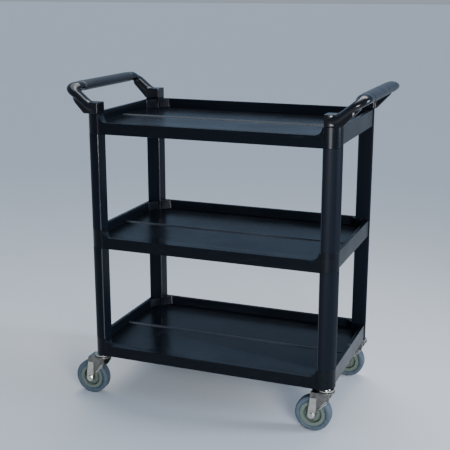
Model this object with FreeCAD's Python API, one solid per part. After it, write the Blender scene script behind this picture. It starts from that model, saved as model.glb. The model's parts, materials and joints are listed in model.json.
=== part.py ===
import FreeCAD, Part
import math
import os

# Food service trolley: three moulded trays on hollow corner posts, a loop handle at each end
# and four swivel casters. Millimetres. X runs along the length, the low front lip faces -Y,
# Z is up, and the origin is on the floor under the middle of the trolley.

Vec = FreeCAD.Vector

# Trays and posts
tray_length = 716.0         # over the corner bosses
tray_width = 431.0          # over the corner bosses
boss_height = 54.0
post_side = 43.0            # section shared by posts, bosses and handle legs
post_round = 40.0           # the one large corner of that section, facing outwards
edge_round = 3.0            # its three other corners
least_flat = 0.4            # flat kept between two corners of that section
least_round = 0.5           # and the smallest of its inner corners
lower_post_height = 270.0
upper_post_height = 270.0
boss_wall = 4.0
post_wall = 3.0
spigot_wall = 2.6
spigot_length = 22.0
pocket_depth = 24.0         # each boss pocket, above and below the web
moulding_gap = 0.15         # all round between a spigot and its pocket
panel_recess = 2.5          # tray sides stand back from the bosses
rim_width = 10.0
rim_drop = 1.5              # rims stop this far under the boss tops
floor_drop = 28.0           # tray floor under the boss tops
floor_thickness = 3.0
skirt_wall = 3.0
front_lip_drop = 22.0       # top of the low front lip under the boss tops
front_lip_width = 9.0
lip_ramp_radius = 21.0      # the lip sweeps up to the bosses in this curve
end_skirt_rise = 5.5        # end skirts stop this far above the boss bottoms
corner_proud = 4.0          # the boss's inner edge stands this far into the tray
cavity_round = 12.0         # corners of the tray's inside
centre_rib_width = 15.0
centre_rib_crest = 7.0
centre_rib_height = 2.6
under_rib_depth = 14.0
under_rib_thickness = 2.5
under_rib_rows = 3
under_rib_columns = 5
cut_spare = 5.0             # cuts run this far past the faces they open

# Handles
handle_reach = 69.0         # out past the bosses
leg_rise = 31.0             # leg top above the boss top
arm_start_height = 16.5     # arm centre above the boss top, where it leaves the leg
arm_root_inset = 38.0       # where the arm starts inside the leg, in from the bosses' ends
arm_bend_inset = 14.0       # where it turns upwards
arm_bend_radius = 45.0
bar_height = 67.0           # bar centre above the boss top
bar_wide = 42.0             # along X
bar_high = 27.0             # along Z
corner_radius = 28.0        # of the loop's centre line
leg_ceiling = 6.0           # solid top of each leg
gusset_thickness = 31.0
gusset_end_inset = 4.0      # gusset end, in from the bar's centre line
gusset_end_height = 43.0    # its lowest point there, above the boss top
gusset_knee_inset = 10.0    # knee of its lower edge, in from that end
gusset_knee_height = 33.0
gusset_knee_radius = 60.0
gusset_plan_round = 22.0    # its end turns with the loop's corner
grip_length = 290.0
grip_thickness = 3.0
grip_proud = 0.8
grip_gap = 0.1

# Casters
wheel_diameter = 100.0
tread_width = 30.0
tyre_depth = 14.0
shoulder_drop = 4.0         # the tread's shoulders stand this far in from its middle
shoulder_width = 6.0
lock_width = 6.0            # ridge of the hub that holds the tyre in place
lock_height = 4.0
wheel_headroom = 25.0       # from the top of the wheels to the underside of the bosses
caster_trail = 32.0
fork_sheet = 2.6
fork_side_gap = 3.0         # between the tread and a fork leg
crown_diameter = 48.0
crown_sheet = 3.0
crown_lip = 2.4             # raised edge round the balls
crown_lip_wall = 1.8
crown_rear = 37.0           # fork top behind the stem
crown_front = 15.0          # and ahead of it
leg_tip_radius = 12.0
leg_waist_rise = 14.0       # above the axle, where the front edge has come in to the tip's width
leg_brow_rise = 48.0        # and where it starts to come in
leg_flange_depth = 4.0
leg_flange_wall = 2.6
leg_band_width = 9.0
leg_band_height = 1.2
kingpin_diameter = 10.0
kingpin_collar = 15.0
kingpin_head = 18.0
kingpin_head_height = 3.5
stem_diameter = 12.0
stem_length = 25.0
cup_diameter = 45.0
cup_sheet = 3.0
cup_lip = 3.6
cup_lip_wall = 2.0
ball_diameter = 4.0
ball_circle = 33.0
ball_count = 16
socket_diameter = 20.0
socket_flange = 28.0
socket_flange_height = 1.5
socket_length = 28.0
axle_diameter = 8.0
axle_head_width = 13.0      # across the flats
axle_head_height = 5.5
nut_height = 4.5
thread_stub = 1.0           # bolt end past the nut
sleeve_diameter = 12.0
hub_barrel_diameter = 20.0
hub_barrel_gap = 1.0        # between the hub barrel and a fork leg
hub_web = 6.0
hub_rim_depth = 11.5        # the hub's solid rim inside the tyre
hub_rim_set_in = 1.0        # rim faces, in from the tread's sides
edge_bevel = 1.0
running_gap = 0.05          # radial, between a pin and what turns on it
free_gap = 0.3              # between faces that pass each other
press_gap = 0.02            # radial, between pieces fixed together

# Places worked out from the sizes above
half_length = tray_length / 2
half_width = tray_width / 2
stem_x = half_length - post_side / 2
stem_y = half_width - post_side / 2
caster_height = wheel_diameter + wheel_headroom
bottom_base = caster_height
middle_base = bottom_base + boss_height + lower_post_height
top_base = middle_base + boss_height + upper_post_height
top_of_bosses = top_base + boss_height
axle_height = wheel_diameter / 2
bar_x = half_length + handle_reach - bar_wide / 2
bar_z = top_of_bosses + bar_height


def flat_wire(corners, place):
    """Closed outline through (a, b, radius) corners, with an arc wherever the radius isn't nought."""
    count = len(corners)
    starts = []
    ends = []
    mids = []
    for index in range(count):
        a, b, radius = corners[index]
        before = corners[index - 1]
        after = corners[(index + 1) % count]
        here = Vec(a, b, 0)
        back = (Vec(before[0], before[1], 0) - here).normalize()
        ahead = (Vec(after[0], after[1], 0) - here).normalize()
        half_angle = back.getAngle(ahead) / 2
        reach = radius / math.tan(half_angle)
        starts.append(here + back * reach)
        ends.append(here + ahead * reach)
        middle = here
        if radius > 0:
            inward = (back + ahead).normalize()
            middle = here + inward * (radius / math.sin(half_angle) - radius)
        mids.append(middle)
    edges = []
    for index in range(count):
        if corners[index][2] > 0:
            arc = Part.Arc(place(starts[index]), place(mids[index]), place(ends[index]))
            edges.append(arc.toShape())
        following = starts[(index + 1) % count]
        if (following - ends[index]).Length > 1e-6:
            edges.append(Part.LineSegment(place(ends[index]), place(following)).toShape())
    return Part.Wire(edges)


def upright_prism(corners, low, high):
    """Prism on an XY outline between two heights."""
    wire = flat_wire(corners, lambda point: Vec(point.x, point.y, low))
    return Part.Face(wire).extrude(Vec(0, 0, high - low))


def side_prism(corners, low, high):
    """Prism on an XZ outline between two Y positions."""
    wire = flat_wire(corners, lambda point: Vec(point.x, low, point.y))
    return Part.Face(wire).extrude(Vec(0, high - low, 0))


def end_prism(corners, low, high):
    """Prism on a YZ outline between two X positions."""
    wire = flat_wire(corners, lambda point: Vec(low, point.x, point.y))
    return Part.Face(wire).extrude(Vec(high - low, 0, 0))


def block(x_low, x_high, y_low, y_high, z_low, z_high):
    return Part.makeBox(x_high - x_low, y_high - y_low, z_high - z_low, Vec(x_low, y_low, z_low))


def cylinder(radius, low, high, x=0.0, y=0.0):
    return Part.makeCylinder(radius, high - low, Vec(x, y, low))


def crosswise_cylinder(radius, low, high, x, z):
    """Cylinder along Y."""
    return Part.makeCylinder(radius, high - low, Vec(x, low, z), Vec(0, 1, 0))


def join(shapes):
    return shapes[0].fuse(shapes[1:]).removeSplitter()


def at_corner(shape, side_x, side_y):
    """Copy of a piece made for the +X +Y corner, mirrored to another corner."""
    result = shape
    if side_x < 0:
        result = result.mirror(Vec(0, 0, 0), Vec(1, 0, 0))
    if side_y < 0:
        result = result.mirror(Vec(0, 0, 0), Vec(0, 1, 0))
    return result


def corner_prism(inset, low, high):
    """The post section at the +X +Y corner, drawn in by inset on every side."""
    x_in = half_length - post_side + inset
    y_in = half_width - post_side + inset
    small = max(edge_round - inset, least_round)
    room = post_side - 2 * inset - small - least_flat
    corners = [
        (x_in, y_in, small),
        (half_length - inset, y_in, small),
        (half_length - inset, half_width - inset, min(post_round - inset, room)),
        (x_in, half_width - inset, small),
    ]
    return upright_prism(corners, low, high)


def post(low, height):
    """Hollow upright whose ends step in to spigots that enter the bosses."""
    high = low + height
    inset = boss_wall + moulding_gap
    outside = join([corner_prism(0, low, high),
                    corner_prism(inset, low - spigot_length, high + spigot_length)])
    bore = corner_prism(inset + spigot_wall, low - spigot_length, high + spigot_length)
    chamber = corner_prism(post_wall, low + spigot_wall, high - spigot_wall)
    return outside.cut(bore.fuse(chamber))


def cavity_outline(grow):
    """Inside of the tray seen from above, its corners cut off at the bosses."""
    x_far = half_length - panel_recess - rim_width + grow
    y_rear = half_width - panel_recess - rim_width + grow
    y_front = panel_recess + front_lip_width - half_width - grow
    x_past = half_length - post_side + corner_proud + grow / math.sqrt(2)
    y_past = half_width - post_side + corner_proud + grow / math.sqrt(2)
    rear_cut = x_far + y_rear - x_past - y_past
    front_cut = x_far - y_front - x_past - y_past
    return [
        (-x_far + front_cut, y_front, cavity_round),
        (x_far - front_cut, y_front, cavity_round),
        (x_far, y_front + front_cut, cavity_round),
        (x_far, y_rear - rear_cut, cavity_round),
        (x_far - rear_cut, y_rear, cavity_round),
        (-x_far + rear_cut, y_rear, cavity_round),
        (-x_far, y_rear - rear_cut, cavity_round),
        (-x_far, y_front + front_cut, cavity_round),
    ]


def side_outline(inset):
    """Outside of the tray's sides between the bosses."""
    x_side = half_length - panel_recess - inset
    y_side = half_width - panel_recess - inset
    curve = post_round - panel_recess - inset
    return [
        (-x_side, -y_side, curve),
        (x_side, -y_side, curve),
        (x_side, y_side, curve),
        (-x_side, y_side, curve),
    ]


def under_ribs(low, high):
    """Stiffening ribs below the tray floor, crossing at right angles."""
    half_rib = under_rib_thickness / 2
    x_wall = half_length - panel_recess - skirt_wall / 2
    y_wall = half_width - panel_recess - skirt_wall / 2
    ribs = []
    for row in range(under_rib_rows):
        y = (row - (under_rib_rows - 1) / 2) * tray_width / (under_rib_rows + 1)
        ribs.append(block(-x_wall, x_wall, y - half_rib, y + half_rib, low, high))
    for column in range(under_rib_columns):
        x = (column - (under_rib_columns - 1) / 2) * tray_length / (under_rib_columns + 1)
        ribs.append(block(x - half_rib, x + half_rib, -y_wall, y_wall, low, high))
    return ribs


def centre_rib(low):
    """Raised band along the middle of the tray floor."""
    half_base = centre_rib_width / 2
    half_crest = centre_rib_crest / 2
    reach = half_length - panel_recess - rim_width / 2
    corners = [
        (-half_base, low - floor_thickness / 2, 0),
        (half_base, low - floor_thickness / 2, 0),
        (half_base, low, 0),
        (half_crest, low + centre_rib_height, 0),
        (-half_crest, low + centre_rib_height, 0),
        (-half_base, low, 0),
    ]
    return end_prism(corners, -reach, reach)


def tray(base, has_casters):
    """Moulded tray: floor, three high sides, low front lip, hollow skirt and corner bosses."""
    top = base + boss_height
    floor = top - floor_drop
    ceiling = floor - floor_thickness
    body = upright_prism(side_outline(0), base, top - rim_drop)
    body = body.cut(upright_prism(cavity_outline(0), floor, top + cut_spare))

    # the low front lip, sweeping up to the bosses at both ends
    ramp_x = half_length - post_side - edge_round
    lip = top - front_lip_drop
    lip_cut = side_prism([
        (-ramp_x, lip, lip_ramp_radius),
        (ramp_x, lip, lip_ramp_radius),
        (ramp_x, top + cut_spare, 0),
        (-ramp_x, top + cut_spare, 0),
    ], -half_width - cut_spare, post_side - half_width)
    body = body.cut(lip_cut)

    # the end skirts stop short of the boss bottoms
    for side in (-1, 1):
        x_pair = sorted((side * (half_length - post_side), side * (half_length + cut_spare)))
        y_reach = half_width - post_side / 2
        body = body.cut(block(x_pair[0], x_pair[1], -y_reach, y_reach,
                              base - cut_spare, base + end_skirt_rise))

    # hollow below the floor and up inside the high rims
    hollow = upright_prism(side_outline(skirt_wall), base - cut_spare, ceiling)
    groove = upright_prism(side_outline(skirt_wall), ceiling - cut_spare, top - rim_drop - skirt_wall)
    groove = groove.cut(upright_prism(cavity_outline(skirt_wall), ceiling - 2 * cut_spare, top))
    groove = groove.cut(block(-half_length, half_length, -half_width, post_side - half_width,
                              ceiling - 2 * cut_spare, top))
    body = body.cut(hollow.fuse(groove))

    pieces = [body, centre_rib(floor)]
    pieces += under_ribs(ceiling - under_rib_depth, ceiling)
    for side_x in (-1, 1):
        for side_y in (-1, 1):
            pieces.append(at_corner(corner_prism(0, base, top), side_x, side_y))
    solid = join(pieces)

    pockets = []
    upper = corner_prism(boss_wall, top - pocket_depth, top + cut_spare)
    lower = corner_prism(boss_wall, base - cut_spare, base + pocket_depth)
    if has_casters:
        lower = cylinder(socket_diameter / 2 + press_gap, base - cut_spare, base + socket_length,
                         stem_x, stem_y)
    for side_x in (-1, 1):
        for side_y in (-1, 1):
            pockets.append(at_corner(upper, side_x, side_y))
            pockets.append(at_corner(lower, side_x, side_y))
    return solid.cut(pockets[0].fuse(pockets[1:]))


def rounded_path(points):
    """Open path through (point, radius) pairs, with an arc at every point that has a radius."""
    edges = []
    last = points[0][0]
    for index in range(1, len(points) - 1):
        here, radius = points[index]
        back = (points[index - 1][0] - here).normalize()
        ahead = (points[index + 1][0] - here).normalize()
        half_angle = back.getAngle(ahead) / 2
        reach = radius / math.tan(half_angle)
        inward = (back + ahead).normalize()
        start = here + back * reach
        middle = here + inward * (radius / math.sin(half_angle) - radius)
        end = here + ahead * reach
        edges.append(Part.LineSegment(last, start).toShape())
        edges.append(Part.Arc(start, middle, end).toShape())
        last = end
    edges.append(Part.LineSegment(last, points[-1][0]).toShape())
    return Part.Wire(edges)


def oval_wire(centre, normal, wide, high):
    """Upright oval across the given direction."""
    ellipse = Part.Ellipse(Vec(0, 0, 0), wide / 2, high / 2)
    edge = ellipse.toShape()
    edge.rotate(Vec(0, 0, 0), Vec(1, 0, 0), 90)
    turn = 90 if abs(normal.x) > abs(normal.y) else 0
    edge.rotate(Vec(0, 0, 0), Vec(0, 0, 1), turn)
    edge.translate(centre)
    return Part.Wire([edge])


def bar_prism(inset, length):
    """Oval prism along the middle of the bar."""
    centre = Vec(bar_x, -length / 2, bar_z)
    wire = oval_wire(centre, Vec(0, 1, 0), bar_wide - 2 * inset, bar_high - 2 * inset)
    return Part.Face(wire).extrude(Vec(0, length, 0))


def handle_loop():
    """Oval bar that leaves one leg, climbs outwards, crosses over and comes back down."""
    start_z = top_of_bosses + arm_start_height
    start_x = half_length - arm_root_inset
    bend_x = half_length - arm_bend_inset
    points = [
        (Vec(start_x, -stem_y, start_z), 0),
        (Vec(bend_x, -stem_y, start_z), arm_bend_radius),
        (Vec(bar_x, -stem_y, bar_z), corner_radius),
        (Vec(bar_x, stem_y, bar_z), corner_radius),
        (Vec(bend_x, stem_y, start_z), arm_bend_radius),
        (Vec(start_x, stem_y, start_z), 0),
    ]
    sweep = Part.BRepOffsetAPI.MakePipeShell(rounded_path(points))
    sweep.setBiNormalMode(Vec(0, 0, 1))
    sweep.add(oval_wire(points[0][0], Vec(1, 0, 0), bar_wide, bar_high))
    sweep.build()
    sweep.makeSolid()
    return sweep.shape()


def gusset():
    """Web under the sloping arm, from the leg to just short of the bar."""
    base = top_of_bosses
    end_x = bar_x - gusset_end_inset
    inner_x = half_length - post_side / 2
    knee_x = end_x - gusset_knee_inset
    foot_x = half_length + edge_round
    y_in = stem_y - gusset_thickness / 2
    y_out = stem_y + gusset_thickness / 2
    web = side_prism([
        (inner_x, base, 0),
        (foot_x, base, edge_round),
        (knee_x, base + gusset_knee_height, gusset_knee_radius),
        (end_x, base + gusset_end_height, edge_round),
        (end_x, bar_z - bar_high / 4, 0),
        (inner_x, base + arm_start_height, 0),
    ], y_in, y_out)
    outline = upright_prism([
        (inner_x - cut_spare, y_in - cut_spare, 0),
        (end_x, y_in - cut_spare, 0),
        (end_x, y_out, gusset_plan_round),
        (inner_x - cut_spare, y_out, 0),
    ], base - cut_spare, bar_z)
    return web.common(outline)


def handle():
    """Loop handle for the +X end, with a spigot below each leg."""
    base = top_of_bosses
    inset = boss_wall + moulding_gap
    leg = join([corner_prism(0, base, base + leg_rise),
                corner_prism(inset, base - spigot_length, base + edge_round)])
    hollow = corner_prism(inset + spigot_wall, base - spigot_length, base + leg_rise - leg_ceiling)
    pieces = [handle_loop()]
    for side in (-1, 1):
        pieces.append(at_corner(leg, 1, side))
        pieces.append(at_corner(gusset(), 1, side))
    solid = join(pieces)
    for side in (-1, 1):
        solid = solid.cut(at_corner(hollow, 1, side))
    room = bar_prism(-grip_proud, grip_length).cut(bar_prism(grip_thickness + grip_gap, grip_length))
    return solid.cut(room)


def grip():
    """Sleeve moulded round the bar."""
    return bar_prism(-grip_proud, grip_length).cut(bar_prism(grip_thickness, grip_length))


def spun(outline, x, z):
    """Solid of revolution about a crosswise axis, from (radius, y, corner radius) points."""
    wire = flat_wire(outline, lambda point: Vec(x + point.x, point.y, z))
    return Part.Face(wire).revolve(Vec(x, 0, z), Vec(0, 1, 0), 360)


def hexagon(width, low, high, x, z):
    """Hexagonal prism along Y, given its width across the flats."""
    reach = width / 2 / math.cos(math.pi / 6)
    corners = []
    for index in range(6):
        angle = index * math.pi / 3
        corners.append((x + reach * math.cos(angle), z + reach * math.sin(angle), 0))
    return side_prism(corners, low, high)


# Each caster is made with its stem on the Z axis and is then moved to its corner.

leg_inside = tread_width / 2 + fork_side_gap
leg_outside = leg_inside + fork_sheet
cup_top = caster_height - socket_flange_height
cup_base = cup_top - cup_sheet
ball_height = cup_base - free_gap - ball_diameter / 2
crown_top = ball_height - ball_diameter / 2
crown_base = crown_top - crown_sheet
axle_x = -caster_trail


def stem_socket():
    """Threaded socket pressed up into a bottom boss."""
    flange = cylinder(socket_flange / 2, cup_top, caster_height)
    body = cylinder(socket_diameter / 2, cup_top, caster_height + socket_length - free_gap)
    bore = cylinder(stem_diameter / 2 + press_gap, cup_top, caster_height + stem_length + free_gap)
    return join([flange, body]).cut(bore)


def caster_stem():
    """Stem above the swivel, with the kingpin and its riveted head below."""
    stem = cylinder(stem_diameter / 2, cup_base, caster_height + stem_length)
    collar = cylinder(kingpin_collar / 2, crown_top + free_gap, cup_base)
    pin = cylinder(kingpin_diameter / 2, crown_base - free_gap, cup_base)
    head_top = crown_base - free_gap
    head = cylinder(kingpin_head / 2, head_top - kingpin_head_height, head_top)
    return join([stem, collar, pin, head])


def swivel_cup():
    """Fixed upper race, a dish whose edge turns up round the socket's flange."""
    plate = cylinder(cup_diameter / 2, cup_base, cup_top)
    lip = cylinder(cup_diameter / 2, cup_base, cup_base + cup_lip)
    lip = lip.cut(cylinder(cup_diameter / 2 - cup_lip_wall, cup_base, cup_base + cup_lip))
    return join([plate, lip]).cut(cylinder(stem_diameter / 2 + press_gap, cup_base, cup_top))


def swivel_balls():
    """Ring of separate balls that run on the fork's crown."""
    balls = []
    for index in range(ball_count):
        angle = 2 * math.pi * index / ball_count
        x = ball_circle / 2 * math.cos(angle)
        y = ball_circle / 2 * math.sin(angle)
        balls.append(Part.makeSphere(ball_diameter / 2, Vec(x, y, ball_height)))
    return Part.makeCompound(balls)


def leg_outline(shift):
    """Tapered fork leg seen from the side, moved along X by shift."""
    tip_front = axle_x + leg_tip_radius
    tip_rear = axle_x - leg_tip_radius
    tip_low = axle_height - leg_tip_radius
    nearly_round = leg_tip_radius - 0.01
    corners = [
        (-crown_rear, crown_top, 0),
        (crown_front, crown_top, 0),
        (crown_front, axle_height + leg_brow_rise, leg_tip_radius),
        (tip_front, axle_height + leg_waist_rise, 2 * leg_tip_radius),
        (tip_front, tip_low, nearly_round),
        (tip_rear, tip_low, nearly_round),
        (tip_rear, axle_height + leg_waist_rise, leg_tip_radius),
    ]
    return [(x + shift, z, radius) for x, z, radius in corners]


def fork():
    """Pressed fork: round crown, bridge and two flanged legs."""
    crown = cylinder(crown_diameter / 2, crown_base, crown_top)
    lip = cylinder(crown_diameter / 2, crown_base, crown_top + crown_lip)
    lip = lip.cut(cylinder(crown_diameter / 2 - crown_lip_wall, crown_base, crown_top + crown_lip))
    bridge = block(-crown_rear, crown_front, -leg_outside, leg_outside, crown_base, crown_top)
    pieces = [crown, lip, bridge]
    band_x = axle_x + leg_tip_radius / 2
    for side in (-1, 1):
        leg = side_prism(leg_outline(0), leg_inside, leg_outside)
        flange = side_prism(leg_outline(0), leg_inside, leg_outside + leg_flange_depth)
        flange = flange.cut(side_prism(leg_outline(-leg_flange_wall), 0, 2 * leg_outside))
        band = block(band_x, band_x + leg_band_width, leg_inside, leg_outside + leg_band_height,
                     axle_height + leg_waist_rise, crown_top)
        for piece in (leg, flange, band):
            pieces.append(at_corner(piece, 1, side))
    solid = join(pieces)
    kingpin_hole = cylinder(kingpin_diameter / 2 + running_gap, crown_base, crown_top)
    axle_hole = crosswise_cylinder(axle_diameter / 2 + press_gap, -2 * leg_outside, 2 * leg_outside,
                                   axle_x, axle_height)
    return solid.cut(kingpin_hole.fuse(axle_hole))


def axle_bolt():
    shank_end = leg_outside + nut_height + thread_stub
    shank = crosswise_cylinder(axle_diameter / 2, -leg_outside, shank_end, axle_x, axle_height)
    head = hexagon(axle_head_width, -leg_outside - axle_head_height, -leg_outside, axle_x, axle_height)
    return join([shank, head])


def axle_nut():
    nut = hexagon(axle_head_width, leg_outside, leg_outside + nut_height, axle_x, axle_height)
    bore = crosswise_cylinder(axle_diameter / 2 + press_gap, 0, 2 * leg_outside, axle_x, axle_height)
    return nut.cut(bore)


def axle_sleeve():
    """Steel tube clamped between the fork legs."""
    tube = crosswise_cylinder(sleeve_diameter / 2, -leg_inside, leg_inside, axle_x, axle_height)
    bore = crosswise_cylinder(axle_diameter / 2 + press_gap, -leg_inside, leg_inside, axle_x, axle_height)
    return tube.cut(bore)


def wheel_hub():
    """Moulded hub: barrel, thin web and solid rim with a ridge that locks the tyre."""
    bore = sleeve_diameter / 2 + running_gap
    barrel = hub_barrel_diameter / 2
    rim_out = wheel_diameter / 2 - tyre_depth
    rim_in = rim_out - hub_rim_depth
    barrel_side = leg_inside - hub_barrel_gap
    rim_side = tread_width / 2 - hub_rim_set_in
    return spun([
        (bore, -barrel_side, 0),
        (barrel, -barrel_side, edge_bevel),
        (barrel, -hub_web / 2, edge_bevel),
        (rim_in, -hub_web / 2, edge_bevel),
        (rim_in, -rim_side, edge_bevel),
        (rim_out, -rim_side, 0),
        (rim_out, -lock_width / 2, 0),
        (rim_out + lock_height, -lock_width / 2, 0),
        (rim_out + lock_height, lock_width / 2, 0),
        (rim_out, lock_width / 2, 0),
        (rim_out, rim_side, 0),
        (rim_in, rim_side, edge_bevel),
        (rim_in, hub_web / 2, edge_bevel),
        (barrel, hub_web / 2, edge_bevel),
        (barrel, barrel_side, edge_bevel),
        (bore, barrel_side, 0),
    ], axle_x, axle_height)


def tyre():
    """Rubber tyre with rounded shoulders, keyed on the hub's ridge."""
    seat = wheel_diameter / 2 - tyre_depth + press_gap
    tread = wheel_diameter / 2
    side = tread_width / 2
    shoulder = tread - shoulder_drop
    return spun([
        (seat, -side + edge_bevel, 0),
        (seat + edge_bevel, -side, edge_bevel),
        (shoulder, -side, edge_bevel),
        (tread, shoulder_width - side, shoulder_width),
        (tread, side - shoulder_width, shoulder_width),
        (shoulder, side, edge_bevel),
        (seat + edge_bevel, side, edge_bevel),
        (seat, side - edge_bevel, 0),
        (seat, lock_width / 2, 0),
        (seat + lock_height, lock_width / 2, 0),
        (seat + lock_height, -lock_width / 2, 0),
        (seat, -lock_width / 2, 0),
    ], axle_x, axle_height)


def moved(shape, x, y):
    copy = shape.copy()
    copy.translate(Vec(x, y, 0))
    return copy


ends = {"left": -1, "right": 1}
corner_places = {}
for depth_name, depth_side in (("front", -1), ("rear", 1)):
    for end_name, end_side in ends.items():
        corner_places[depth_name + "_" + end_name] = (end_side, depth_side)

nodes = {
    "bottom_tray": tray(bottom_base, True),
    "middle_tray": tray(middle_base, False),
    "top_tray": tray(top_base, False),
}
for tier, low, height in (("lower", bottom_base + boss_height, lower_post_height),
                          ("upper", middle_base + boss_height, upper_post_height)):
    upright = post(low, height)
    for corner, (side_x, side_y) in corner_places.items():
        nodes[tier + "_post_" + corner] = at_corner(upright, side_x, side_y)

for end, side_x in ends.items():
    nodes[end + "_handle"] = at_corner(handle(), side_x, 1)
    nodes[end + "_grip"] = at_corner(grip(), side_x, 1)

socket = stem_socket()
nodes["stem_sockets"] = Part.makeCompound(
    [moved(socket, side_x * stem_x, side_y * stem_y) for side_x, side_y in corner_places.values()])

caster_pieces = {
    "caster_stem": caster_stem(),
    "swivel_cup": swivel_cup(),
    "swivel_balls": swivel_balls(),
    "caster_fork": fork(),
    "axle_bolt": axle_bolt(),
    "axle_nut": axle_nut(),
    "axle_sleeve": axle_sleeve(),
    "wheel_hub": wheel_hub(),
    "tyre": tyre(),
}
for piece_name, piece in caster_pieces.items():
    for corner, (side_x, side_y) in corner_places.items():
        nodes[piece_name + "_" + corner] = moved(piece, side_x * stem_x, side_y * stem_y)

os.makedirs("parts", exist_ok=True)
for name, shape in nodes.items():
    shape.exportStep("parts/" + name + ".step")
    print(name, len(shape.Solids), round(shape.Volume), shape.isValid())
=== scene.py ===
import json
import bmesh
import bpy
from math import radians, sin, cos, pi
from mathutils import Matrix, Vector


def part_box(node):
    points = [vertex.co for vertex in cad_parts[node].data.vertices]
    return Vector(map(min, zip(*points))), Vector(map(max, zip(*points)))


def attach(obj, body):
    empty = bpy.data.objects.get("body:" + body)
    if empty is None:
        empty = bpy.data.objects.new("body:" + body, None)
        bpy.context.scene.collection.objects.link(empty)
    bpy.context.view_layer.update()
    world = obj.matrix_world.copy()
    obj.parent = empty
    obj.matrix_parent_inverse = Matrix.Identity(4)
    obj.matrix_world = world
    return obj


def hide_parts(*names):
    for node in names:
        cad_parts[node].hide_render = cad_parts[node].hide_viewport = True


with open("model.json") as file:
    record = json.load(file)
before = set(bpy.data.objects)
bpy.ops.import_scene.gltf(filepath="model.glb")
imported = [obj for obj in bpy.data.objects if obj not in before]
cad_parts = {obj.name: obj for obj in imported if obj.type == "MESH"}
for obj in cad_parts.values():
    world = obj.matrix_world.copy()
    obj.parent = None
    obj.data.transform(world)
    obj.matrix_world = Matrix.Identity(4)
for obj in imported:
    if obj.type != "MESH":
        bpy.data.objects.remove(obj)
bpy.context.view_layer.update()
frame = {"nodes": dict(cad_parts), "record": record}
cornerNames = ["front_left", "front_right", "rear_left", "rear_right"]

# the view the trolley is usually seen from: front left of its narrow right end
camera = {"azimuth": 21.21, "elevation": 14.65, "distance": 2.6474, "aimX": -0.0278,
          "aimZ": 0.4933, "lens": 73.06, "sensor": 36.0}


def directionFrom(azimuth, elevation):
    turn, lift = radians(azimuth), radians(elevation)
    return Vector((sin(turn) * cos(lift), -cos(turn) * cos(lift), sin(lift)))


def placeCamera():
    data = bpy.data.cameras.new("studioCamera")
    data.lens = camera["lens"]
    data.sensor_width = camera["sensor"]
    view = bpy.data.objects.new("studioCamera", data)
    back = directionFrom(camera["azimuth"], camera["elevation"])
    view.location = Vector((camera["aimX"], 0, camera["aimZ"])) + back * camera["distance"]
    view.rotation_euler = back.to_track_quat("Z", "Y").to_euler()
    bpy.context.scene.collection.objects.link(view)
    bpy.context.scene.camera = view


placeCamera()
print("camera done")


def linear(hexColour):
    # sRGB hex to the linear colour that shaders and lights take
    parts = [int(hexColour[i:i + 2], 16) / 255 for i in (1, 3, 5)]
    return [p / 12.92 if p <= 0.04045 else ((p + 0.055) / 1.055) ** 2.4 for p in parts] + [1.0]


def addNode(tree, kind, settings=None, links=None):
    # settings: property, input name or input number to value; links: input to an output socket
    node = tree.nodes.new(kind)
    for key, value in (settings or {}).items():
        if isinstance(key, int) or key in node.inputs.keys():
            node.inputs[key].default_value = value
        else:
            setattr(node, key, value)
    for key, socket in (links or {}).items():
        tree.links.new(socket, node.inputs[key])
    return node


def perMetre(millimetres):
    # a texture's scale for a pattern of this spacing
    return 1000.0 / millimetres


def startMaterial(name, colour, metallic, roughness, sockets=None):
    material = bpy.data.materials.new(name)
    material.use_nodes = True
    shader = material.node_tree.nodes["Principled BSDF"]
    fixed = {"Base Color": linear(colour), "Metallic": metallic, "Roughness": roughness}
    fixed.update(sockets or {})
    for key, value in fixed.items():
        shader.inputs[key].default_value = value
    return material, material.node_tree, shader


def paintRibHighlight(tree, place, scuffsAndRibHighlight, crest):
    # painted highlight along the raised rib in the middle of the trays: its upward faces are made
    # paler in drawn-out patches, in place of the light the rib catches
    side = addNode(tree, "ShaderNodeSeparateXYZ", None, {"Vector": place}).outputs["Y"]
    across = addNode(tree, "ShaderNodeMath", {"operation": "ABSOLUTE"}, {0: side}).outputs[0]
    edge = crest["halfWidth"] / 1000
    band = addNode(tree, "ShaderNodeMapRange", {
        "From Min": edge, "From Max": edge + crest["fade"] / 1000, "To Min": 1.0, "To Max": 0.0},
        {"Value": across}).outputs["Result"]
    facing = addNode(tree, "ShaderNodeNewGeometry").outputs["Normal"]
    upward = addNode(tree, "ShaderNodeSeparateXYZ", None, {"Vector": facing}).outputs["Z"]
    above = addNode(tree, "ShaderNodeMapRange", {"From Min": 0.3, "From Max": 0.6},
                    {"Value": upward}).outputs["Result"]
    drawnOut = addNode(tree, "ShaderNodeMapping", {"Scale": (0.35, 1.0, 1.0)}, {"Vector": place})
    patches = addNode(tree, "ShaderNodeTexNoise", {
        "Scale": perMetre(55), "Detail": 3.0, "Roughness": 0.55}, {"Vector": drawnOut.outputs[0]})
    patchy = addNode(tree, "ShaderNodeMapRange", {
        "From Min": 0.3, "From Max": 0.7, "To Min": crest["least"], "To Max": crest["most"]},
        {"Value": patches.outputs["Fac"]}).outputs["Result"]
    # the painted rib highlight: the band across the middle, on upward faces only, in patches
    ribHighlight = band
    for limit in (above, patchy):
        ribHighlight = addNode(tree, "ShaderNodeMath", {"operation": "MULTIPLY"},
                       {0: ribHighlight, 1: limit}).outputs[0]
    return addNode(tree, "ShaderNodeMath", {"operation": "MAXIMUM"},
                   {0: scuffsAndRibHighlight, 1: ribHighlight}).outputs[0]


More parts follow.
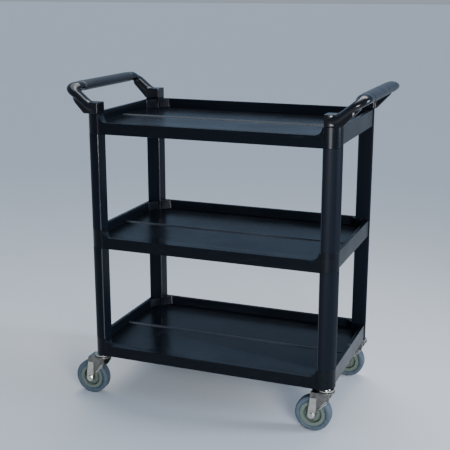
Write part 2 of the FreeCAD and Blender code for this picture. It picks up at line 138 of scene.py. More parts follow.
def mouldedPolypropylene(name, finish):
    # injection-moulded polypropylene in a spark-eroded mould: a soft sheen broken by a fine pebble,
    # long slow sink marks in the flat walls, and paler dull scuffs where loads slide about
    rough = finish["roughness"]
    material, tree, shader = startMaterial(name, finish["colour"], 0.0, rough, {
        "IOR": 1.49, "Specular IOR Level": finish["specular"]})
    place = addNode(tree, "ShaderNodeTexCoord").outputs["Object"]
    # the pebble is coarser than the real 0.2 mm, which wouldn't show
    pebble = addNode(tree, "ShaderNodeTexNoise", {
        "Scale": perMetre(finish["pebble"]), "Detail": 3.0, "Roughness": 0.55}, {"Vector": place})
    sink = addNode(tree, "ShaderNodeTexNoise", {
        "Scale": perMetre(140), "Detail": 2.0, "Roughness": 0.55}, {"Vector": place})
    drawnOut = addNode(tree, "ShaderNodeMapping", {"Scale": (0.06, 1.0, 1.0)}, {"Vector": place})
    rubbed = addNode(tree, "ShaderNodeTexNoise", {
        "Scale": perMetre(5), "Detail": 6.0, "Roughness": 0.7}, {"Vector": drawnOut.outputs[0]})
    scuffsAndRibHighlight = addNode(tree, "ShaderNodeMapRange", {
        "From Min": 0.58, "From Max": 0.85, "To Max": 0.3},
        {"Value": rubbed.outputs["Fac"]}).outputs["Result"]
    # on the trays the scuffs also carry a painted highlight along the rib in the middle, paler and
    # duller there
    if "crest" in finish:
        scuffsAndRibHighlight = paintRibHighlight(tree, place, scuffsAndRibHighlight, finish["crest"])
    # 0 is a Mix node's factor, 6 and 7 its two colours, and 2 its mixed colour
    colours = addNode(tree, "ShaderNodeMix", {
        "data_type": "RGBA", 6: linear(finish["colour"]), 7: linear(finish["scuffAndHighlightColour"])},
        {0: scuffsAndRibHighlight})
    tree.links.new(colours.outputs[2], shader.inputs["Base Color"])
    slow = addNode(tree, "ShaderNodeMapRange", {
        "From Min": 0.3, "From Max": 0.7, "To Min": rough - 0.05, "To Max": rough + 0.05},
        {"Value": sink.outputs["Fac"]}).outputs["Result"]
    dull = addNode(tree, "ShaderNodeMath", {"operation": "MULTIPLY_ADD", 1: 0.1},
                   {0: scuffsAndRibHighlight, 2: slow})
    tree.links.new(dull.outputs[0], shader.inputs["Roughness"])
    grain = addNode(tree, "ShaderNodeBump", {"Strength": 0.12, "Distance": 0.2 / 1000},
                    {"Height": pebble.outputs["Fac"]})
    waves = addNode(tree, "ShaderNodeBump", {"Strength": 0.22, "Distance": 1.2 / 1000},
                    {"Height": sink.outputs["Fac"], "Normal": grain.outputs["Normal"]})
    tree.links.new(waves.outputs["Normal"], shader.inputs["Normal"])
    return material


def extrudedPvc(name, finish):
    # extruded black PVC sleeve with a navy cast: fine die lines up it draw the highlights out
    rough = finish["roughness"]
    material, tree, shader = startMaterial(name, finish["colour"], 0.0, rough, {
        "IOR": 1.53, "Specular IOR Level": finish["specular"]})
    place = addNode(tree, "ShaderNodeTexCoord").outputs["Object"]
    lengthwise = addNode(tree, "ShaderNodeMapping", {"Scale": (1.0, 1.0, 0.008)}, {"Vector": place})
    dieLines = addNode(tree, "ShaderNodeTexNoise", {
        "Scale": perMetre(1.4), "Detail": 3.0, "Roughness": 0.55},
        {"Vector": lengthwise.outputs[0]})
    drawnUp = addNode(tree, "ShaderNodeMapping", {"Scale": (1.0, 1.0, 0.01)}, {"Vector": place})
    bands = addNode(tree, "ShaderNodeTexNoise", {
        "Scale": perMetre(11), "Detail": 2.0, "Roughness": 0.55}, {"Vector": drawnUp.outputs[0]})
    colours = addNode(tree, "ShaderNodeMix", {
        "data_type": "RGBA", 6: linear(finish["colour"]), 7: linear(finish["pale"])},
        {0: bands.outputs["Fac"]})
    tree.links.new(colours.outputs[2], shader.inputs["Base Color"])
    sheen = addNode(tree, "ShaderNodeMapRange", {
        "From Min": 0.3, "From Max": 0.7, "To Min": rough - 0.06, "To Max": rough + 0.08},
        {"Value": dieLines.outputs["Fac"]})
    tree.links.new(sheen.outputs["Result"], shader.inputs["Roughness"])
    grain = addNode(tree, "ShaderNodeBump", {"Strength": 0.3, "Distance": 0.15 / 1000},
                    {"Height": dieLines.outputs["Fac"]})
    waves = addNode(tree, "ShaderNodeBump", {"Strength": 0.2, "Distance": 0.4 / 1000},
                    {"Height": bands.outputs["Fac"], "Normal": grain.outputs["Normal"]})
    tree.links.new(waves.outputs["Normal"], shader.inputs["Normal"])
    return material


def softRubber(name, finish):
    # moulded thermoplastic rubber: matt and slightly dusty, with a fine grit in the surface
    rough = finish["roughness"]
    material, tree, shader = startMaterial(name, finish["colour"], 0.0, rough, {
        "IOR": 1.52, "Specular IOR Level": finish["specular"]})
    place = addNode(tree, "ShaderNodeTexCoord").outputs["Object"]
    dust = addNode(tree, "ShaderNodeTexNoise", {
        "Scale": perMetre(finish["patch"]), "Detail": 4.0, "Roughness": 0.65}, {"Vector": place})
    grit = addNode(tree, "ShaderNodeTexNoise", {
        "Scale": perMetre(0.9), "Detail": 2.0, "Roughness": 0.55}, {"Vector": place})
    dusty = addNode(tree, "ShaderNodeMapRange", {"From Min": 0.35, "From Max": 0.7},
                    {"Value": dust.outputs["Fac"]})
    colours = addNode(tree, "ShaderNodeMix", {
        "data_type": "RGBA", 6: linear(finish["colour"]), 7: linear(finish["dusty"])},
        {0: dusty.outputs["Result"]})
    tree.links.new(colours.outputs[2], shader.inputs["Base Color"])
    sheen = addNode(tree, "ShaderNodeMapRange", {
        "From Min": 0.3, "From Max": 0.7, "To Min": rough - 0.08, "To Max": rough + 0.1},
        {"Value": dust.outputs["Fac"]})
    tree.links.new(sheen.outputs["Result"], shader.inputs["Roughness"])
    grain = addNode(tree, "ShaderNodeBump", {"Strength": 0.25, "Distance": 0.2 / 1000},
                    {"Height": grit.outputs["Fac"]})
    tree.links.new(grain.outputs["Normal"], shader.inputs["Normal"])
    return material


def zincPlatedSteel(name, finish):
    # pressed steel with a bright zinc plate: mirror-like but clouded, with fine drag marks down it
    rough = finish["roughness"]
    material, tree, shader = startMaterial(name, finish["colour"], 1.0, rough)
    place = addNode(tree, "ShaderNodeTexCoord").outputs["Object"]
    cloud = addNode(tree, "ShaderNodeTexNoise", {
        "Scale": perMetre(13), "Detail": 4.0, "Roughness": 0.55}, {"Vector": place})
    drawnOut = addNode(tree, "ShaderNodeMapping", {"Scale": (1.0, 1.0, 0.1)}, {"Vector": place})
    drag = addNode(tree, "ShaderNodeTexNoise", {
        "Scale": perMetre(finish["drag"]), "Detail": 3.0, "Roughness": 0.55},
        {"Vector": drawnOut.outputs[0]})
    clouded = addNode(tree, "ShaderNodeMapRange", {"From Min": 0.35, "From Max": 0.7},
                      {"Value": cloud.outputs["Fac"]})
    colours = addNode(tree, "ShaderNodeMix", {
        "data_type": "RGBA", 6: linear(finish["colour"]), 7: linear(finish["clouded"])},
        {0: clouded.outputs["Result"]})
    tree.links.new(colours.outputs[2], shader.inputs["Base Color"])
    sheen = addNode(tree, "ShaderNodeMapRange", {
        "From Min": 0.3, "From Max": 0.7, "To Min": rough - 0.05, "To Max": rough + 0.08},
        {"Value": drag.outputs["Fac"]})
    tree.links.new(sheen.outputs["Result"], shader.inputs["Roughness"])
    grain = addNode(tree, "ShaderNodeBump", {"Strength": 0.08, "Distance": 0.1 / 1000},
                    {"Height": drag.outputs["Fac"]})
    tree.links.new(grain.outputs["Normal"], shader.inputs["Normal"])
    return material


finishes = {
    # the trays' crest settings paint a highlight along the rib in the middle, in the scuffed colour
    "blackTray": mouldedPolypropylene("blackMouldedPolypropylene", {
        "colour": "#090c11", "scuffAndHighlightColour": "#3b3f45", "roughness": 0.26, "specular": 0.12,
        "pebble": 1.1, "crest": {"halfWidth": 7.5, "fade": 1.5, "least": 0.45, "most": 0.75}}),
    "blackHandle": mouldedPolypropylene("polishedBlackPolypropylene", {
        "colour": "#090a0d", "scuffAndHighlightColour": "#14171b", "roughness": 0.2, "specular": 0.3,
        "pebble": 0.9}),
    "navyPost": extrudedPvc("navyBlackExtrudedPvc", {
        "colour": "#080b10", "pale": "#0f141c", "roughness": 0.42, "specular": 0.06}),
    "polishedBead": mouldedPolypropylene("polishedBlackCornerBead", {
        "colour": "#0b0e13", "scuffAndHighlightColour": "#1a1f27", "roughness": 0.16, "specular": 1.0,
        "pebble": 1.4}),
    "gripRubber": softRubber("blackGripElastomer", {
        "colour": "#090b0f", "dusty": "#12171e", "roughness": 0.36, "specular": 0.42,
        "patch": 40}),
    "greyTyre": softRubber("blueGreyTyreRubber", {
        "colour": "#39454e", "dusty": "#4b545a", "roughness": 0.6, "specular": 0.3, "patch": 12}),
    "greenHub": mouldedPolypropylene("greyGreenHubPolypropylene", {
        "colour": "#566055", "scuffAndHighlightColour": "#6b7468", "roughness": 0.44, "specular": 0.45,
        "pebble": 0.9}),
    "brightZinc": zincPlatedSteel("brightZincPressing", {
        "colour": "#d0cbbf", "clouded": "#bdb6a7", "roughness": 0.12, "drag": 1.5}),
    # a darker copy of the bright zinc for the fork legs: painted shade in place of the dark
    # reflections and the shadowed channel down each leg, and rougher as well
    "dullShadedZinc": zincPlatedSteel("dullShadedZincPressing", {
        "colour": "#85817a", "clouded": "#6c6963", "roughness": 0.28, "drag": 1.5}),
    "boltZinc": zincPlatedSteel("brightZincFastener", {
        "colour": "#d0cdc6", "clouded": "#bdb9ae", "roughness": 0.2, "drag": 0.8}),
    "bearingSteel": zincPlatedSteel("polishedBearingSteel", {
        "colour": "#c4c6c9", "clouded": "#a6a9ad", "roughness": 0.14, "drag": 0.7}),
}
print("materials done:", len(finishes))


def bodyOf(node):
    bodies = frame["record"]["behaviour"]["bodies"]
    return next(body for body, members in bodies.items() if node in members)


def middleOf(node):
    low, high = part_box(node)
    return (low + high) / 2, high - low


def newPiece(name, mesh, finish, sharpAngle):
    mesh.shade_smooth()
    mesh.set_sharp_from_angle(angle=radians(sharpAngle))
    mesh.materials.clear()
    mesh.materials.append(finishes[finish])
    piece = bpy.data.objects.new(name, mesh)
    bpy.context.scene.collection.objects.link(piece)
    return piece


def finishPiece(name, mesh, finish, nodes, sharpAngle=35):
    # a piece that rides on its nodes' body and stands for them
    piece = newPiece(name, mesh, finish, sharpAngle)
    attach(piece, bodyOf(nodes[0]))
    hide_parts(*nodes)
    return piece


def addPiece(name, mesh, finish, body, sharpAngle=35):
    # a detail that stands for no CAD node of its own
    piece = newPiece(name, mesh, finish, sharpAngle)
    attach(piece, body)
    return piece


def addBevel(piece, millimetres, angle=32):
    bevel = piece.modifiers.new("edgeRadius", "BEVEL")
    bevel.width = millimetres / 1000
    bevel.segments = 2
    bevel.limit_method = "ANGLE"
    bevel.angle_limit = radians(angle)
    bevel.use_clamp_overlap = False
    bevel.harden_normals = True


def meshFrom(work, name):
    mesh = bpy.data.meshes.new(name)
    work.to_mesh(mesh)
    work.free()
    return mesh


def outward(mesh):
    # seams joined and every face turned outwards
    work = bmesh.new()
    work.from_mesh(mesh)
    bmesh.ops.remove_doubles(work, verts=work.verts, dist=0.000002)
    bmesh.ops.recalc_face_normals(work, faces=work.faces)
    work.to_mesh(mesh)
    work.free()
    return mesh


# how a copy of a CAD part is cleaned: points this near in millimetres become one, and faces
# that meet at less than this angle in degrees
copySet = {"merge": 0.004, "flat": 0.6}


def mergedCopy(node, name):
    work = bmesh.new()
    work.from_mesh(frame["nodes"][node].data)
    bmesh.ops.remove_doubles(work, verts=work.verts, dist=copySet["merge"] / 1000)
    bmesh.ops.dissolve_limit(work, angle_limit=radians(copySet["flat"]), verts=work.verts,
                             edges=work.edges)
    return meshFrom(work, name)


def softenedPiece(name, node, finish, radius):
    # the CAD part with a moulded or pressed radius along every sharp edge
    addBevel(finishPiece(name, mergedCopy(node, name), finish, [node]), radius)


traySet = {"edgeRadius": 0.9}


def makeTrays():
    for level in ("bottom", "middle", "top"):
        softenedPiece(level + "_tray_moulding", level + "_tray", "blackTray",
                      traySet["edgeRadius"])


postSet = {"edgeRadius": 0.6}


def makePosts():
    for tier in ("lower", "upper"):
        for corner in cornerNames:
            softenedPiece(tier + "_sleeve_" + corner, tier + "_post_" + corner, "navyPost",
                          postSet["edgeRadius"])


makeTrays()
makePosts()
print("trays and posts done")

handleSet = {"voxel": 1.5, "smoothing": 6, "smoothFactor": 0.5}


def makeHandles():
    # the handle's legs, arms and webs flow into each other: its copy is remeshed and relaxed
    for end in ("left", "right"):
        node = end + "_handle"
        draft = bpy.data.objects.new(node + "_rough", mergedCopy(node, node))
        bpy.context.scene.collection.objects.link(draft)
        remesh = draft.modifiers.new("fineSkin", "REMESH")
        remesh.mode = "VOXEL"
        remesh.voxel_size = handleSet["voxel"] / 1000
        relax = draft.modifiers.new("relax", "SMOOTH")
        relax.factor = handleSet["smoothFactor"]
        relax.iterations = handleSet["smoothing"]
        graph = bpy.context.evaluated_depsgraph_get()
        smooth = bpy.data.meshes.new_from_object(draft.evaluated_get(graph))
        bpy.data.objects.remove(draft)
        finishPiece(end + "_handle_moulding", smooth, "blackHandle", [node],
                    sharpAngle=180)


makeHandles()
print("handles done")


def geometryTree(name, sizes):
    # a Geometry Nodes tree with a named input for each size, whole numbers where the size is one
    tree = bpy.data.node_groups.new(name, "GeometryNodeTree")
    for way in ("OUTPUT", "INPUT"):
        tree.interface.new_socket("Geometry", in_out=way, socket_type="NodeSocketGeometry")
    for size, value in sizes.items():
        kind = "NodeSocketInt" if isinstance(value, int) else "NodeSocketFloat"
        tree.interface.new_socket(size, in_out="INPUT", socket_type=kind).default_value = value
    tree.interface.new_socket("Material", in_out="INPUT", socket_type="NodeSocketMaterial")
    return tree, addNode(tree, "NodeGroupInput").outputs


def closeTree(tree, inputs, shape):
    whole = addNode(tree, "GeometryNodeRealizeInstances", None, {"Geometry": shape}).outputs[0]
    done = addNode(tree, "GeometryNodeSetMaterial", None, {
        "Geometry": whole, "Material": inputs["Material"]}).outputs[0]
    addNode(tree, "NodeGroupOutput", None, {"Geometry": done})
    return tree


def grow(tree, sizes, finish):
    # the tree's result as a plain mesh at the origin
    seed = bpy.data.objects.new(tree.name, bpy.data.meshes.new(tree.name))
    bpy.context.scene.collection.objects.link(seed)
    modifier = seed.modifiers.new("grow", "NODES")
    modifier.node_group = tree
    values = dict(sizes, Material=finishes[finish])
    for item in tree.interface.items_tree:
        if item.in_out == "INPUT" and item.name in values:
            modifier[item.identifier] = values[item.name]
    graph = bpy.context.evaluated_depsgraph_get()
    mesh = bpy.data.meshes.new_from_object(seed.evaluated_get(graph))
    bpy.data.objects.remove(seed)
    return mesh


# the sleeve is fluted all round, and its ends turn down to the bar
gripSet = {"flutes": 22, "pointsPerFlute": 8, "fluteDepth": 0.55, "endTurn": 0.1,
           "endSharpness": 90.0, "rings": 60}


def gripTree(sizes):
    tree, inputs = geometryTree("flutedSleeve", sizes)
    far = addNode(tree, "ShaderNodeCombineXYZ", None, {"Y": inputs["Length"]}).outputs[0]
    line = addNode(tree, "GeometryNodeCurvePrimitiveLine", None, {"End": far}).outputs[0]
    path = addNode(tree, "GeometryNodeResampleCurve", None, {
        "Curve": line, "Count": inputs["Rings"]}).outputs[0]
    path = addNode(tree, "GeometryNodeSetCurveNormal", {"mode": "Z_UP"}, {"Curve": path}).outputs[0]

    # how far each ring is from the middle, 0 to 1, raised so that only the last rings turn down
    along = addNode(tree, "GeometryNodeSplineParameter").outputs["Factor"]
    turned = along
    for operation, value in (("MULTIPLY", 2.0), ("SUBTRACT", 1.0), ("ABSOLUTE", 0.0),
                             ("POWER", gripSet["endSharpness"])):
        turned = addNode(tree, "ShaderNodeMath", {"operation": operation, 1: value},
                         {0: turned}).outputs[0]
    turned = addNode(tree, "ShaderNodeMath", {"operation": "MULTIPLY"},
                     {0: turned, 1: inputs["End Turn"]}).outputs[0]
    swell = addNode(tree, "ShaderNodeMath", {"operation": "SUBTRACT", 0: 1.0},
                    {1: turned}).outputs[0]

    # grooves all round, one a flute, cut into an oval
    groove = addNode(tree, "ShaderNodeMath", {"operation": "MULTIPLY"},
                     {0: along, 1: inputs["Flutes"]}).outputs[0]
    for operation, value in (("MULTIPLY", 2 * pi), ("COSINE", 0.0), ("MAXIMUM", 0.0),
                             ("POWER", 4.0)):
        groove = addNode(tree, "ShaderNodeMath", {"operation": operation, 1: value},
                         {0: groove}).outputs[0]
    groove = addNode(tree, "ShaderNodeMath", {"operation": "MULTIPLY"},
                     {0: groove, 1: inputs["Flute Depth"]}).outputs[0]
    reach = addNode(tree, "ShaderNodeCombineXYZ")
    for axis, half in (("X", "Half Width"), ("Y", "Half Height")):
        cut = addNode(tree, "ShaderNodeMath", {"operation": "SUBTRACT"},
                      {0: inputs[half], 1: groove}).outputs[0]
        tree.links.new(cut, reach.inputs[axis])
    ring = addNode(tree, "GeometryNodeCurvePrimitiveCircle", {"Radius": 1.0},
                   {"Resolution": inputs["Points Around"]}).outputs[0]
    place = addNode(tree, "GeometryNodeInputPosition").outputs[0]
    oval = addNode(tree, "ShaderNodeVectorMath", {"operation": "MULTIPLY"},
                   {0: place, 1: reach.outputs[0]}).outputs[0]
    profile = addNode(tree, "GeometryNodeSetPosition", None, {
        "Geometry": ring, "Position": oval}).outputs[0]
    sweep = addNode(tree, "GeometryNodeCurveToMesh", {"Fill Caps": True}, {
        "Curve": path, "Profile Curve": profile, "Scale": swell})
    return closeTree(tree, inputs, sweep.outputs[0])


def makeGrips():
    size = middleOf("left_grip")[1]
    sizes = {"Length": size.y, "Half Width": size.x / 2, "Half Height": size.z / 2,
             "Flutes": gripSet["flutes"], "Flute Depth": gripSet["fluteDepth"] / 1000,
             "Points Around": gripSet["flutes"] * gripSet["pointsPerFlute"],
             "End Turn": gripSet["endTurn"], "Rings": gripSet["rings"]}
    tree = gripTree(sizes)
    for end in ("left", "right"):
        centre, size = middleOf(end + "_grip")
        mesh = grow(tree, sizes, "gripRubber")
        mesh.transform(Matrix.Translation(centre - Vector((0, size.y / 2, 0))))
        finishPiece(end + "_grip_sleeve", outward(mesh), "gripRubber",
                    [end + "_grip"], sharpAngle=60)


makeGrips()
print("grips done")

# the polished bead that the extrusion leaves along both inner corners of each post
beadSet = {"radius": 2.4, "rings": 24, "around": 20}


def beadTree(sizes):
    tree, inputs = geometryTree("cornerBead", sizes)
    top = addNode(tree, "ShaderNodeCombineXYZ", None, {"Z": inputs["Length"]}).outputs[0]
    line = addNode(tree, "GeometryNodeCurvePrimitiveLine", None, {"End": top}).outputs[0]
    path = addNode(tree, "GeometryNodeResampleCurve", None, {
        "Curve": line, "Count": inputs["Rings"]}).outputs[0]
    ring = addNode(tree, "GeometryNodeCurvePrimitiveCircle", None, {
        "Resolution": inputs["Around"], "Radius": inputs["Radius"]}).outputs[0]
    sweep = addNode(tree, "GeometryNodeCurveToMesh", {"Fill Caps": True}, {
        "Curve": path, "Profile Curve": ring})
    return closeTree(tree, inputs, sweep.outputs[0])


def makeBeads():
    middleLow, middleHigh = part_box("middle_tray")
    spans = {"lower": (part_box("bottom_tray")[1].z, middleLow.z),
             "upper": (middleHigh.z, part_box("top_tray")[0].z)}
    inset = beadSet["radius"] / 1000
    sizes = {"Length": spans["lower"][1] - spans["lower"][0], "Radius": inset,
             "Rings": beadSet["rings"], "Around": beadSet["around"]}
    tree = beadTree(sizes)
    for tier, (bottom, top) in spans.items():
        for corner in cornerNames:
            low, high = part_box(tier + "_post_" + corner)
            inner = low.x + inset if high.x > 0 else high.x - inset
            pair = bmesh.new()
            for y in (low.y + inset, high.y - inset):
                mesh = grow(tree, dict(sizes, Length=top - bottom), "polishedBead")
                mesh.transform(Matrix.Translation((inner, y, bottom)))
                pair.from_mesh(mesh)
            addPiece(tier + "_corner_beads_" + corner, outward(meshFrom(pair, "beads")),
                     "polishedBead", "trolley")


makeBeads()
print("corner beads done")

# balls of the swivel race
ballSet = {"count": 16, "segments": 12, "rings": 8}


def ballTree(sizes):
    tree, inputs = geometryTree("ballRace", sizes)
    circle = addNode(tree, "GeometryNodeMeshCircle", None, {
        "Vertices": inputs["Count"], "Radius": inputs["Circle Radius"]}).outputs[0]
    ball = addNode(tree, "GeometryNodeMeshUVSphere", None, {
        "Radius": inputs["Ball Radius"], "Segments": inputs["Segments"],
        "Rings": inputs["Rings"]}).outputs[0]
    balls = addNode(tree, "GeometryNodeInstanceOnPoints", None, {
        "Points": circle, "Instance": ball}).outputs[0]
    return closeTree(tree, inputs, balls)


def makeBallRaces():
    across = middleOf("swivel_balls_front_left")[1]
    sizes = {"Ball Radius": across.z / 2, "Circle Radius": (across.x - across.z) / 2,
             "Count": ballSet["count"], "Segments": ballSet["segments"], "Rings": ballSet["rings"]}
    tree = ballTree(sizes)
    for corner in cornerNames:
        mesh = grow(tree, sizes, "bearingSteel")
        mesh.transform(Matrix.Translation(middleOf("swivel_balls_" + corner)[0]))
        finishPiece("ball_race_" + corner, outward(mesh), "bearingSteel",
                    ["swivel_balls_" + corner], sharpAngle=180)


# one ring of tyre rubber: a rounded section swept round the axle, a mould line round the tread
# and a bead where each side meets the hub
tyreSet = {"depth": 14.0, "shoulder": 5.5, "shoulderPoints": 6, "mouldLine": 0.3,
           "linePoints": 6, "bead": 0.9, "beadPoints": 10, "around": 96}


def tyreTree(sizes):
    tree, inputs = geometryTree("mouldedTyre", sizes)

    def swept(ringRadius, profile):
        ring = addNode(tree, "GeometryNodeCurvePrimitiveCircle", None, {
            "Resolution": inputs["Around"], "Radius": ringRadius}).outputs[0]
        return addNode(tree, "GeometryNodeCurveToMesh", None, {
            "Curve": ring, "Profile Curve": profile}).outputs[0]

    section = addNode(tree, "GeometryNodeCurvePrimitiveQuadrilateral", None, {
        "Width": inputs["Depth"], "Height": inputs["Width"]}).outputs[0]
    # the fillet's number of points is a socket only once its mode is set
    rounded = addNode(tree, "GeometryNodeFilletCurve", {
        "mode": "POLY", "Count": tyreSet["shoulderPoints"], "Limit Radius": True}, {
        "Curve": section, "Radius": inputs["Shoulder"]}).outputs[0]
    line = addNode(tree, "GeometryNodeCurvePrimitiveCircle", {
        "Resolution": tyreSet["linePoints"]}, {"Radius": inputs["Mould Line"]}).outputs[0]
    wire = addNode(tree, "GeometryNodeCurvePrimitiveCircle", {
        "Resolution": tyreSet["beadPoints"]}, {"Radius": inputs["Bead"]}).outputs[0]
    bead = swept(inputs["Rim Radius"], wire)
    rings = [swept(inputs["Middle Radius"], rounded), swept(inputs["Tread Radius"], line)]
    for side in (-1.0, 1.0):
        out = addNode(tree, "ShaderNodeMath", {"operation": "MULTIPLY", 1: side},
                      {0: inputs["Bead Out"]}).outputs[0]
        lift = addNode(tree, "ShaderNodeCombineXYZ", None, {"Z": out}).outputs[0]
        rings.append(addNode(tree, "GeometryNodeTransform", None, {
            "Geometry": bead, "Translation": lift}).outputs[0])
    joined = addNode(tree, "GeometryNodeJoinGeometry")
    for ring in rings:
        tree.links.new(ring, joined.inputs[0])
    upright = addNode(tree, "GeometryNodeTransform", {"Rotation": (radians(90), 0, 0)},
                      {"Geometry": joined.outputs[0]}).outputs[0]
    return closeTree(tree, inputs, upright)


def makeTyres():
    size = middleOf("tyre_front_left")[1]
    depth, mouldLine, bead = (tyreSet[key] / 1000 for key in ("depth", "mouldLine", "bead"))
    tread = size.x / 2 - mouldLine
    sizes = {"Width": size.y, "Depth": depth, "Tread Radius": tread,
             "Middle Radius": tread - depth / 2, "Rim Radius": tread - depth,
             "Shoulder": tyreSet["shoulder"] / 1000, "Mould Line": mouldLine, "Bead": bead,
             "Bead Out": size.y / 2 - bead, "Around": tyreSet["around"]}
    tree = tyreTree(sizes)
    for corner in cornerNames:
        mesh = grow(tree, sizes, "greyTyre")
        mesh.transform(Matrix.Translation(middleOf("tyre_" + corner)[0]))
        finishPiece("moulded_tyre_" + corner, outward(mesh), "greyTyre",
                    ["tyre_" + corner], sharpAngle=60)


# wheel centre: barrel, recessed web and deep rim, as (radius, half width) in millimetres
hubSet = {"steps": 96, "edgeRadius": 0.7, "edgeAngle": 25, "section": [
    (6.1, 17.0), (10.0, 17.0), (10.6, 3.4), (12.0, 3.0), (22.6, 3.0), (24.0, 3.6), (25.2, 13.4),
    (26.2, 14.0), (34.6, 14.0), (35.2, 13.2), (36.2, 13.2)]}


def hubMesh(centre):
    work = bmesh.new()
    section = hubSet["section"]
    outline = section + [(radius, -y) for radius, y in reversed(section)]
    points = [work.verts.new(centre + Vector((radius / 1000, y / 1000, 0)))
              for radius, y in outline]
    edges = [work.edges.new((point, points[(i + 1) % len(points)]))
             for i, point in enumerate(points)]
    bmesh.ops.spin(work, geom=points + edges, cent=centre, axis=(0, 1, 0), angle=2 * pi,
                   steps=hubSet["steps"], use_merge=True, use_duplicate=False)
    return outward(meshFrom(work, "hub"))


# pressed panel that stiffens each fork leg, tapered and round about the axle, and the strip that
# slants off it; both in millimetres from the axle
panelSet = {"tipRadius": 11.6, "tipStart": 172, "tipSweep": 196, "topHeight": 51.0,
            "topMiddle": 3.5, "topHalfWidth": 8.5, "steps": 22, "proud": 2.2, "sunk": 0.4,
            "edgeRadius": 0.7,
            "strip": [(17.0, 21.0), (20.5, 18.5), (41.0, 38.5), (44.5, 46.5), (37.5, 46.5)]}


def panelOutline():
    # round the tip from just above one side of the axle to just above the other
    steps = panelSet["steps"]
    outline = []
    for i in range(steps + 1):
        turn = radians(panelSet["tipStart"] + panelSet["tipSweep"] * i / steps)
        outline.append((panelSet["tipRadius"] * cos(turn), panelSet["tipRadius"] * sin(turn)))
    for side in (1, -1):
        outline.append((panelSet["topMiddle"] + side * panelSet["topHalfWidth"],
                        panelSet["topHeight"]))
    return outline


def panelMesh(outline, axle, face, side):
    # side is -1 or 1, which way the panel stands off the leg's face
    work = bmesh.new()
    depths = (face - side * panelSet["sunk"] / 1000, face + side * panelSet["proud"] / 1000)
    inner, outer = ([work.verts.new((axle.x + x / 1000, y, axle.z + z / 1000)) for x, z in outline]
                    for y in depths)
    for i in range(len(outline)):
        after = (i + 1) % len(outline)
        work.faces.new((inner[i], inner[after], outer[after], outer[i]))
    work.faces.new(inner)
    work.faces.new(outer)
    return outward(meshFrom(work, "panel"))


casterSet = {"pressedEdge": 0.5, "fastenerEdge": 0.3}


def makeCasters():
    # the fork legs take the darker zinc, which is painted shade; the cups, panels and strips take
    # the bright zinc
    copies = [("pressed_fork_", "caster_fork_", "dullShadedZinc", "zinc_plate", "pressedEdge"),
              ("pressed_cup_", "swivel_cup_", "brightZinc", "zinc_plate", "pressedEdge"),
              ("axle_bolt_head_", "axle_bolt_", "boltZinc", "bolt_steel", "fastenerEdge"),
              ("lock_nut_", "axle_nut_", "boltZinc", "bolt_steel", "fastenerEdge")]
    outlines = {"panel": panelOutline(), "strip": panelSet["strip"]}
    for corner in cornerNames:
        for piece, node, finish, slot, edge in copies:
            softenedPiece(piece + corner, node + corner, finish, casterSet[edge])
        axle = middleOf("tyre_" + corner)[0]
        hub = finishPiece("moulded_hub_" + corner, hubMesh(axle), "greenHub",
                          ["wheel_hub_" + corner])
        addBevel(hub, hubSet["edgeRadius"], hubSet["edgeAngle"])

        # the leg's outer face is where the nut starts
        nutLow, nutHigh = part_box("axle_nut_" + corner)
        legFace = min(abs(nutLow.y - axle.y), abs(nutHigh.y - axle.y))
        for side, sideName in ((-1, "_near"), (1, "_far")):
            for part, outline in outlines.items():
                mesh = panelMesh(outline, axle, axle.y + side * legFace, side)
                addBevel(addPiece("fork_" + part + "_" + corner + sideName, mesh, "brightZinc",
                                  "swivel_" + corner), panelSet["edgeRadius"])


makeBallRaces()
makeTyres()
makeCasters()
print("casters done")

# what stays as the CAD made it: the sockets, the stems and the axle sleeves
carriedOver = {"boltZinc": ["stem_sockets", "caster_stem", "axle_sleeve"]}


def finishCarriedOver():
    for finish, starts in carriedOver.items():
        for name, node in frame["nodes"].items():
            if name.startswith(tuple(starts)):
                for holder in node.material_slots:
                    holder.material = finishes[finish]


finishCarriedOver()

# floor, light and sky
studio = {"floor": "#d2d1cf", "floorReach": 60.0, "floorRoughness": 0.75, "sky": "#a6c3e6",
          "horizon": "#b1bcc9", "hazeTop": 0.14, "skyStrength": 0.74, "sunPower": 1.0,
          "sunSpread": 40, "sunAzimuth": 205, "sunElevation": 62, "lampAim": 0.45}
lamps = {
    "overheadSoftbox": {"azimuth": 170, "elevation": 66, "distance": 2.6, "size": (2.0, 0.5),
                        "power": 12, "colour": "#ffffff", "spread": 120},
    "windowSoftbox": {"azimuth": 35, "elevation": 8, "distance": 2.7, "size": (0.8, 1.2),
                      "power": 18, "colour": "#f4f8ff", "spread": 75},
    "sideSoftbox": {"azimuth": 100, "elevation": 14, "distance": 2.7, "size": (0.7, 1.3),
                    "power": 14, "colour": "#d8e6ff", "spread": 75},
}


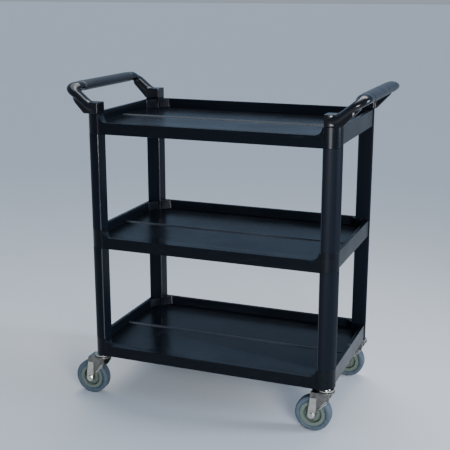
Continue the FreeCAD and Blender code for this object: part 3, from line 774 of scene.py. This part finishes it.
def layFloor():
    reach = studio["floorReach"]
    mesh = bpy.data.meshes.new("studioFloor")
    corners = [(-reach, -reach, 0), (reach, -reach, 0), (reach, reach, 0), (-reach, reach, 0)]
    mesh.from_pydata(corners, [], [(0, 1, 2, 3)])
    mesh.materials.append(startMaterial("matFloorPaint", studio["floor"], 0.0,
                                        studio["floorRoughness"])[0])
    floor = bpy.data.objects.new("studioFloor", mesh)
    bpy.context.scene.collection.objects.link(floor)


def hangLight(name, data, azimuth, elevation, distance=0.0):
    light = bpy.data.objects.new(name, data)
    away = directionFrom(azimuth, elevation)
    light.location = Vector((0, 0, studio["lampAim"])) + away * distance
    light.rotation_euler = away.to_track_quat("Z", "Y").to_euler()
    light.visible_camera = False
    bpy.context.scene.collection.objects.link(light)


def hangLights():
    for name, lamp in lamps.items():
        data = bpy.data.lights.new(name, "AREA")
        data.shape = "RECTANGLE"
        data.size, data.size_y = lamp["size"]
        data.energy = lamp["power"]
        data.spread = radians(lamp["spread"])
        data.color = linear(lamp["colour"])[:3]
        hangLight(name, data, lamp["azimuth"], lamp["elevation"], lamp["distance"])
    data = bpy.data.lights.new("softSun", "SUN")
    data.energy = studio["sunPower"]
    data.angle = radians(studio["sunSpread"])
    hangLight("softSun", data, studio["sunAzimuth"], studio["sunElevation"])


def paintSky():
    # pale at the floor's edge and bluer above it
    world = bpy.data.worlds.new("studioSky")
    world.use_nodes = True
    tree = world.node_tree
    around = addNode(tree, "ShaderNodeTexCoord").outputs["Generated"]
    height = addNode(tree, "ShaderNodeSeparateXYZ", None, {"Vector": around}).outputs["Z"]
    haze = addNode(tree, "ShaderNodeMapRange", {"From Max": studio["hazeTop"]},
                   {"Value": height}).outputs["Result"]
    colours = addNode(tree, "ShaderNodeMix", {
        "data_type": "RGBA", 6: linear(studio["horizon"]), 7: linear(studio["sky"])}, {0: haze})
    sky = tree.nodes["Background"]
    sky.inputs["Strength"].default_value = studio["skyStrength"]
    tree.links.new(colours.outputs[2], sky.inputs["Color"])
    bpy.context.scene.world = world


layFloor()
hangLights()
paintSky()
print("studio done")
